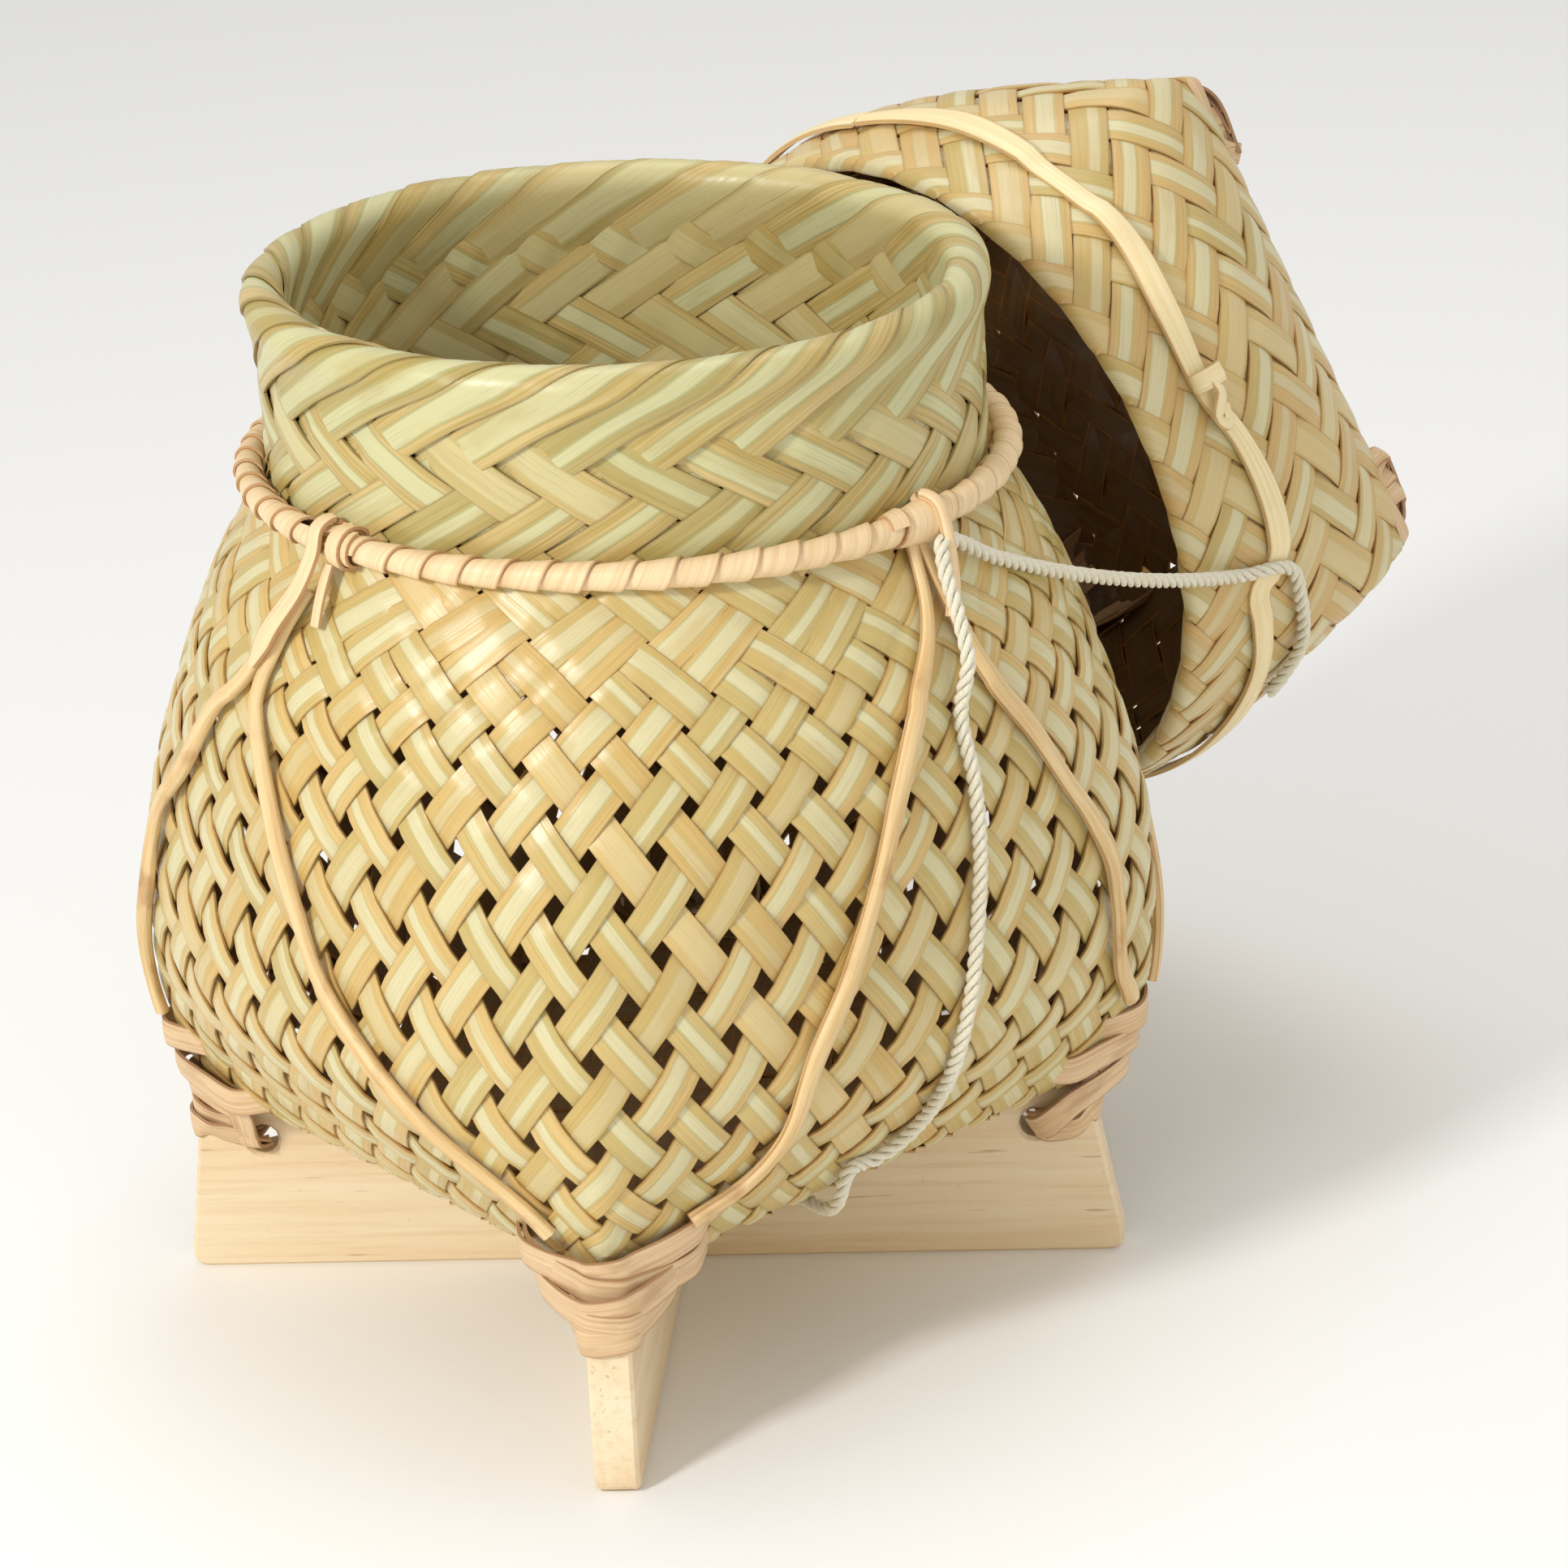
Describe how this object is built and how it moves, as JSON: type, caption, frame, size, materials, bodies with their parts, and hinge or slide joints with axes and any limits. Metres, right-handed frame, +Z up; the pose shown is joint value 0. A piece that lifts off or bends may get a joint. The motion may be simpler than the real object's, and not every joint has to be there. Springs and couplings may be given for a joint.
{
  "type": "bamboo steamer basket",
  "caption": "Plaited bamboo sticky-rice steaming basket, square floor to round neck, on a crossed board foot, with a square-topped woven lid hung open on a string.",
  "frame": {"origin": "on the ground in the middle of the foot, where its two boards cross", "axes": "+Z up along the basket; +X right along the long foot board; +Y to the back along the cross board; the lid hangs at the back right"},
  "size_m": [0.2116, 0.2307, 0.1765],
  "materials": {
    "plaited_bamboo": "satin",
    "plaited_neck": "satin",
    "plaited_lid": "satin",
    "foot_wood": "matte",
    "cane": "satin",
    "lashing_cane": "satin",
    "cotton_string": "matte"
  },
  "bodies": {
    "basket": {"basket_body": "plaited_bamboo", "neck_lining": "plaited_neck", "foot_board_long": "foot_wood", "foot_board_cross": "foot_wood", "corner_lashing_right": "lashing_cane", "corner_lashing_back": "lashing_cane", "corner_lashing_left": "lashing_cane", "corner_lashing_front": "lashing_cane", "neck_ring_core": "cane", "neck_ring_wrap": "cane", "ring_tie_front_right": "cane", "ring_tie_back_right": "cane", "ring_tie_back_left": "cane", "ring_tie_front_left": "cane", "front_left_stay_left": "cane", "front_left_stay_front": "cane", "front_right_stay_front": "cane", "front_right_stay_right": "cane", "back_right_stay_right": "cane", "back_right_stay_back": "cane", "back_left_stay_back": "cane", "back_left_stay_left": "cane", "string_knot": "cotton_string", "carrying_string_lower": "cotton_string", "carrying_string_span": "cotton_string"},
    "lid": {"lid_body": "plaited_lid", "lid_hoop": "cane", "lid_hoop_knot": "cane", "lid_corner_lashing_1": "lashing_cane", "lid_corner_lashing_2": "lashing_cane", "lid_corner_lashing_3": "lashing_cane", "lid_corner_lashing_4": "lashing_cane", "carrying_string_lid": "cotton_string"}
  },
  "joints": [
    {"name": "lid_lift", "type": "slide", "parent": "basket", "child": "lid", "axis": [0.6699, 0.7235, 0.1668], "range_m": [0, 0.06]}
  ]
}
